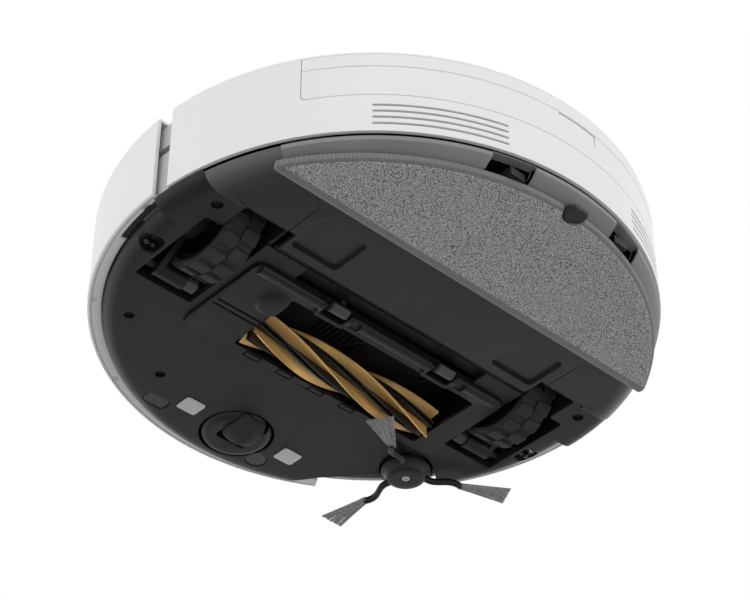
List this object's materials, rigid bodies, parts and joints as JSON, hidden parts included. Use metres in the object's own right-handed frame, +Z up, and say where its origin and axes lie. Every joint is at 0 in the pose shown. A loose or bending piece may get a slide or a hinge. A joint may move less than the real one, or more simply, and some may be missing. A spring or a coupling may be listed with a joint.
{
  "type": "robot vacuum",
  "caption": "Round robot vacuum with a mop pad, helical main brush, side brush, sprung bumper, drive wheels and a rear tank drawer.",
  "frame": {"origin": "on the floor under the middle of the round body, where its vertical axis meets the floor", "axes": "+Z up, -Y towards the front bumper, +X to the robot's own left"},
  "size_m": [0.3508, 0.3504, 0.0975],
  "materials": {
    "white_shell": "satin white moulded shell",
    "black_plastic": "finely textured charcoal plastic",
    "dark_plastic": "matt black plastic",
    "grey_plastic": "grey moulded plastic",
    "rubber": "matt tyre rubber",
    "copper_rubber": "copper coloured elastomer",
    "mop_cloth": "looped grey knit",
    "bristle": "nylon bristle",
    "steel": "satin metal",
    "lens": "dark infrared window",
    "smoked": "smoked tank plastic",
    "board": "circuit board"
  },
  "bodies": {
    "chassis": {"chassis_base": "black_plastic", "rear_base": "black_plastic", "rear_shell": "white_shell", "top_cover": "white_shell", "front_frame": "grey_plastic", "turret_base": "dark_plastic", "comb_insert": "dark_plastic", "brush_bearing": "grey_plastic", "brush_motor": "grey_plastic", "side_brush_motor": "steel", "charge_contact_left": "steel", "charge_contact_right": "steel", "cliff_lens_left": "lens", "cliff_lens_right": "lens", "cliff_lens_front": "lens", "carpet_sensor": "lens", "battery": "grey_plastic", "main_board": "board", "suction_fan": "grey_plastic", "suction_duct": "black_plastic", "left_pivot_pin": "steel", "left_spring": "steel", "right_pivot_pin": "steel", "right_spring": "steel"},
    "bumper": {"bumper_shell": "white_shell"},
    "home_button": {"home_button": "white_shell"},
    "power_button": {"power_button": "white_shell"},
    "tank": {"tank_fascia": "white_shell", "tank_body": "smoked", "tank_lid": "black_plastic", "filter": "grey_plastic"},
    "tank_release": {"tank_release": "white_shell"},
    "scanner": {"scanner": "black_plastic"},
    "turret_cap": {"turret_cap": "white_shell"},
    "brush_cover": {"brush_cover": "black_plastic"},
    "cover_clip_left": {"cover_clip_left": "grey_plastic"},
    "cover_clip_right": {"cover_clip_right": "grey_plastic"},
    "main_brush": {"brush_core": "dark_plastic", "brush_blade_1": "copper_rubber", "brush_blade_2": "copper_rubber", "brush_blade_3": "copper_rubber", "brush_blade_4": "copper_rubber"},
    "left_arm": {"left_arm": "black_plastic"},
    "left_wheel": {"left_tyre": "rubber", "left_hub": "black_plastic"},
    "right_arm": {"right_arm": "black_plastic"},
    "right_wheel": {"right_tyre": "rubber", "right_hub": "black_plastic"},
    "caster": {"caster_fork": "black_plastic"},
    "caster_wheel": {"caster_wheel": "rubber"},
    "side_brush": {"side_brush_hub": "black_plastic", "side_brush_screw": "steel", "side_brush_tuft_1": "bristle", "side_brush_tuft_2": "bristle", "side_brush_tuft_3": "bristle"},
    "mop": {"mop_pad": "mop_cloth", "mop_plate": "black_plastic"},
    "mop_release": {"mop_release": "dark_plastic"},
    "mop_latch_left": {"mop_latch_left": "grey_plastic"},
    "mop_latch_right": {"mop_latch_right": "grey_plastic"}
  },
  "joints": [
    {"name": "bumper_press", "type": "slide", "parent": "chassis", "child": "bumper", "axis": [0, 1, 0], "range_m": [0, 0.003], "stiffness_N_per_m": 400, "springref_m": -0.002},
    {"name": "home_press", "type": "slide", "parent": "chassis", "child": "home_button", "axis": [0, 0, -1], "range_m": [0, 0.001], "stiffness_N_per_m": 300, "springref_m": -0.001},
    {"name": "power_press", "type": "slide", "parent": "chassis", "child": "power_button", "axis": [0, 0, -1], "range_m": [0, 0.001], "stiffness_N_per_m": 300, "springref_m": -0.001},
    {"name": "tank_pull", "type": "slide", "parent": "chassis", "child": "tank", "axis": [0, 1, 0], "range_m": [0, 0.12]},
    {"name": "tank_release_press", "type": "slide", "parent": "tank", "child": "tank_release", "axis": [0, -1, 0], "range_m": [0, 0.002], "stiffness_N_per_m": 300, "springref_m": -0.001},
    {"name": "scanner_spin", "type": "hinge", "parent": "chassis", "child": "scanner", "pos_m": [0, 0.03, 0.0885], "axis": [0, 0, 1], "continuous": true},
    {"name": "turret_cap_press", "type": "slide", "parent": "chassis", "child": "turret_cap", "axis": [0, 0, -1], "range_m": [0, 0.0015], "stiffness_N_per_m": 500, "springref_m": -0.001},
    {"name": "cover_tilt", "type": "hinge", "parent": "chassis", "child": "brush_cover", "pos_m": [0, -0.0643, 0.0103], "axis": [-1, 0, 0], "range_deg": [0, 18]},
    {"name": "cover_clip_left_press", "type": "slide", "parent": "brush_cover", "child": "cover_clip_left", "axis": [0, -1, 0], "range_m": [0, 0.002], "stiffness_N_per_m": 300, "springref_m": -0.001},
    {"name": "cover_clip_right_press", "type": "slide", "parent": "brush_cover", "child": "cover_clip_right", "axis": [0, -1, 0], "range_m": [0, 0.002], "stiffness_N_per_m": 300, "springref_m": -0.001},
    {"name": "main_brush_spin", "type": "hinge", "parent": "chassis", "child": "main_brush", "pos_m": [0, -0.0444, 0.0145], "axis": [1, 0, 0], "continuous": true},
    {"name": "left_suspension", "type": "hinge", "parent": "chassis", "child": "left_arm", "pos_m": [0, -0.041, 0.016], "axis": [-1, 0, 0], "range_deg": [0, 25], "stiffness_Nm_per_rad": 0.15, "springref_deg": 28.65},
    {"name": "left_wheel_spin", "type": "hinge", "parent": "left_arm", "child": "left_wheel", "pos_m": [0, -0.004, 0.035], "axis": [1, 0, 0], "continuous": true},
    {"name": "right_suspension", "type": "hinge", "parent": "chassis", "child": "right_arm", "pos_m": [0, -0.041, 0.016], "axis": [-1, 0, 0], "range_deg": [0, 25], "stiffness_Nm_per_rad": 0.15, "springref_deg": 28.65},
    {"name": "right_wheel_spin", "type": "hinge", "parent": "right_arm", "child": "right_wheel", "pos_m": [0, -0.004, 0.035], "axis": [1, 0, 0], "continuous": true},
    {"name": "caster_swivel", "type": "hinge", "parent": "chassis", "child": "caster", "pos_m": [0, -0.131, 0.0095], "axis": [0, 0, 1], "continuous": true},
    {"name": "caster_roll", "type": "hinge", "parent": "caster", "child": "caster_wheel", "pos_m": [0, -0.124, 0.014], "axis": [1, 0, 0], "continuous": true},
    {"name": "side_brush_spin", "type": "hinge", "parent": "chassis", "child": "side_brush", "pos_m": [-0.107, -0.0853, 0.0095], "axis": [0, 0, 1], "continuous": true, "deforming": ["side_brush_tuft_1", "side_brush_tuft_2", "side_brush_tuft_3"]},
    {"name": "mop_slide", "type": "slide", "parent": "chassis", "child": "mop", "axis": [0, 1, 0], "range_m": [0, 0.1]},
    {"name": "mop_release_press", "type": "slide", "parent": "mop", "child": "mop_release", "axis": [0, 0, 1], "range_m": [0, 0.0018], "stiffness_N_per_m": 300, "springref_m": -0.001},
    {"name": "mop_latch_left_press", "type": "slide", "parent": "mop", "child": "mop_latch_left", "axis": [-1, 0, 0], "range_m": [0, 0.003], "stiffness_N_per_m": 300, "springref_m": -0.001},
    {"name": "mop_latch_right_press", "type": "slide", "parent": "mop", "child": "mop_latch_right", "axis": [1, 0, 0], "range_m": [0, 0.003], "stiffness_N_per_m": 300, "springref_m": -0.001}
  ]
}
